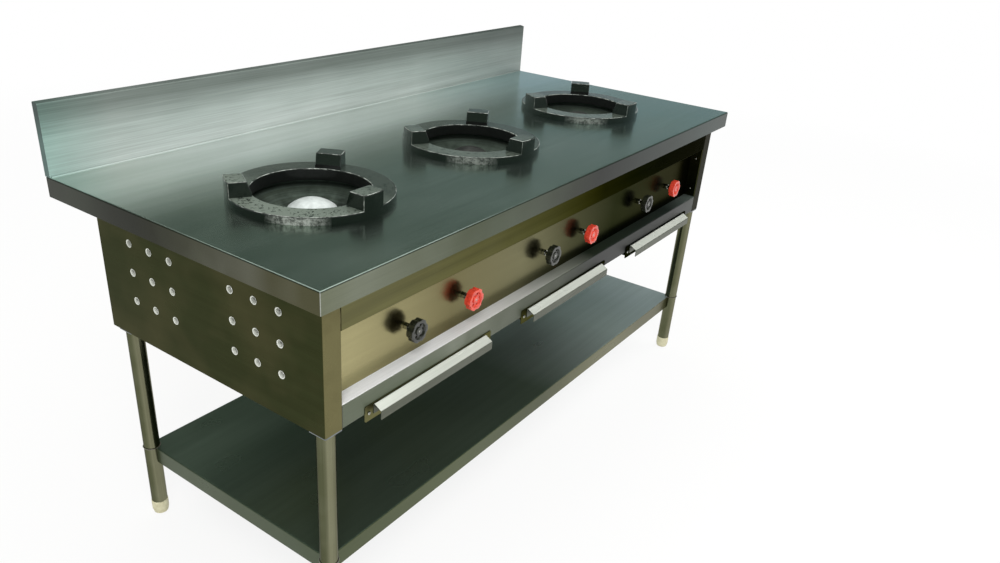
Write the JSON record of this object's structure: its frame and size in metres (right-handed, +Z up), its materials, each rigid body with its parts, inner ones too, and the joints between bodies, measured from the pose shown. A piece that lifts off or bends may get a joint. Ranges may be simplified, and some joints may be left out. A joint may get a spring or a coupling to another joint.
{
  "type": "wok range",
  "caption": "Free-standing stainless wok range with cast pot rings over gas burners, handwheel valves in a recess, pull-out drip trays, pipe legs and an undershelf.",
  "frame": {"origin": "on the floor, below the middle of the bounding box", "axes": "+X along the range to the right, +Y from the front towards the splashback, +Z up"},
  "size_m": [1.8, 0.815, 1.0075],
  "materials": {
    "worktop_steel": "satin stainless sheet, worktop and splashback",
    "body_steel": "satin stainless sheet, body panels",
    "panel_steel": "bright polished stainless sheet behind the handwheels",
    "shelf_steel": "satin stainless sheet, undershelf",
    "frame_steel": "galvanised steel angle",
    "leg_steel": "brushed stainless tube",
    "gas_pipe": "dark grey painted steel pipe",
    "copper_tube": "bare copper tube",
    "nylon": "cream nylon",
    "chamber_steel": "pressed stainless bowl, dulled by heat",
    "burner_iron": "bare cast iron",
    "burner_cap": "bright cast aluminium",
    "ring_iron": "black stove-enamelled cast iron, glossy",
    "valve_brass": "turned brass",
    "black_handwheel": "glossy black moulded handwheel",
    "red_handwheel": "glossy red moulded handwheel",
    "tray_steel": "bright stainless sheet, trays and pulls"
  },
  "bodies": {
    "stand": {"worktop": "worktop_steel", "backsplash": "worktop_steel", "worktop_stiffeners": "body_steel", "side_panel_left": "body_steel", "side_panel_right": "body_steel", "back_panel": "body_steel", "front_top_rail": "body_steel", "front_lower_rail": "body_steel", "control_panel": "panel_steel", "base_frame": "frame_steel", "burner_hangers": "body_steel", "gas_manifold": "gas_pipe", "inlet_pipe": "gas_pipe", "main_feed_pipes": "gas_pipe", "pilot_tubes": "copper_tube", "tray_runners": "body_steel", "leg_plates": "body_steel", "leg_inserts": "nylon", "undershelf": "shelf_steel", "shelf_clips": "body_steel", "shelf_stiffener": "body_steel", "burner_chamber_1": "chamber_steel", "burner_body_1": "burner_iron", "burner_cap_1": "burner_cap", "main_valve_1": "valve_brass", "pilot_valve_1": "valve_brass", "burner_chamber_2": "chamber_steel", "burner_body_2": "burner_iron", "burner_cap_2": "burner_cap", "main_valve_2": "valve_brass", "pilot_valve_2": "valve_brass", "burner_chamber_3": "chamber_steel", "burner_body_3": "burner_iron", "burner_cap_3": "burner_cap", "main_valve_3": "valve_brass", "pilot_valve_3": "valve_brass", "leg_front_left": "leg_steel", "leg_front_right": "leg_steel", "leg_rear_left": "leg_steel", "leg_rear_right": "leg_steel"},
    "ring_1": {"wok_ring_1": "ring_iron"},
    "ring_2": {"wok_ring_2": "ring_iron"},
    "ring_3": {"wok_ring_3": "ring_iron"},
    "tray_1": {"drip_tray_1": "tray_steel", "tray_handle_1": "tray_steel"},
    "tray_2": {"drip_tray_2": "tray_steel", "tray_handle_2": "tray_steel"},
    "tray_3": {"drip_tray_3": "tray_steel", "tray_handle_3": "tray_steel"},
    "main_wheel_1": {"main_handwheel_1": "black_handwheel"},
    "pilot_wheel_1": {"pilot_handwheel_1": "red_handwheel"},
    "main_wheel_2": {"main_handwheel_2": "black_handwheel"},
    "pilot_wheel_2": {"pilot_handwheel_2": "red_handwheel"},
    "main_wheel_3": {"main_handwheel_3": "black_handwheel"},
    "pilot_wheel_3": {"pilot_handwheel_3": "red_handwheel"},
    "foot_front_left_body": {"foot_front_left": "nylon"},
    "foot_front_right_body": {"foot_front_right": "nylon"},
    "foot_rear_left_body": {"foot_rear_left": "nylon"},
    "foot_rear_right_body": {"foot_rear_right": "nylon"}
  },
  "joints": [
    {"name": "ring_1_lift", "type": "slide", "parent": "stand", "child": "ring_1", "axis": [0, 0, 1], "range_m": [0, 0.15]},
    {"name": "ring_2_lift", "type": "slide", "parent": "stand", "child": "ring_2", "axis": [0, 0, 1], "range_m": [0, 0.15]},
    {"name": "ring_3_lift", "type": "slide", "parent": "stand", "child": "ring_3", "axis": [0, 0, 1], "range_m": [0, 0.15]},
    {"name": "tray_1_slide", "type": "slide", "parent": "stand", "child": "tray_1", "axis": [0, -1, 0], "range_m": [0, 0.45]},
    {"name": "tray_2_slide", "type": "slide", "parent": "stand", "child": "tray_2", "axis": [0, -1, 0], "range_m": [0, 0.45]},
    {"name": "tray_3_slide", "type": "slide", "parent": "stand", "child": "tray_3", "axis": [0, -1, 0], "range_m": [0, 0.45]},
    {"name": "main_valve_1_turn", "type": "hinge", "parent": "stand", "child": "main_wheel_1", "pos_m": [-0.603, -0.3715, 0.648], "axis": [0, -1, 0], "range_deg": [0, 540]},
    {"name": "pilot_valve_1_turn", "type": "hinge", "parent": "stand", "child": "pilot_wheel_1", "pos_m": [-0.409, -0.3715, 0.648], "axis": [0, -1, 0], "range_deg": [0, 540]},
    {"name": "main_valve_2_turn", "type": "hinge", "parent": "stand", "child": "main_wheel_2", "pos_m": [-0.076, -0.3715, 0.648], "axis": [0, -1, 0], "range_deg": [0, 540]},
    {"name": "pilot_valve_2_turn", "type": "hinge", "parent": "stand", "child": "pilot_wheel_2", "pos_m": [0.118, -0.3715, 0.648], "axis": [0, -1, 0], "range_deg": [0, 540]},
    {"name": "main_valve_3_turn", "type": "hinge", "parent": "stand", "child": "main_wheel_3", "pos_m": [0.451, -0.3715, 0.648], "axis": [0, -1, 0], "range_deg": [0, 540]},
    {"name": "pilot_valve_3_turn", "type": "hinge", "parent": "stand", "child": "pilot_wheel_3", "pos_m": [0.645, -0.3715, 0.648], "axis": [0, -1, 0], "range_deg": [0, 540]},
    {"name": "foot_front_left_adjust", "type": "slide", "parent": "stand", "child": "foot_front_left_body", "axis": [0, 0, -1], "range_m": [0, 0.02]},
    {"name": "foot_front_right_adjust", "type": "slide", "parent": "stand", "child": "foot_front_right_body", "axis": [0, 0, -1], "range_m": [0, 0.02]},
    {"name": "foot_rear_left_adjust", "type": "slide", "parent": "stand", "child": "foot_rear_left_body", "axis": [0, 0, -1], "range_m": [0, 0.02]},
    {"name": "foot_rear_right_adjust", "type": "slide", "parent": "stand", "child": "foot_rear_right_body", "axis": [0, 0, -1], "range_m": [0, 0.02]}
  ]
}
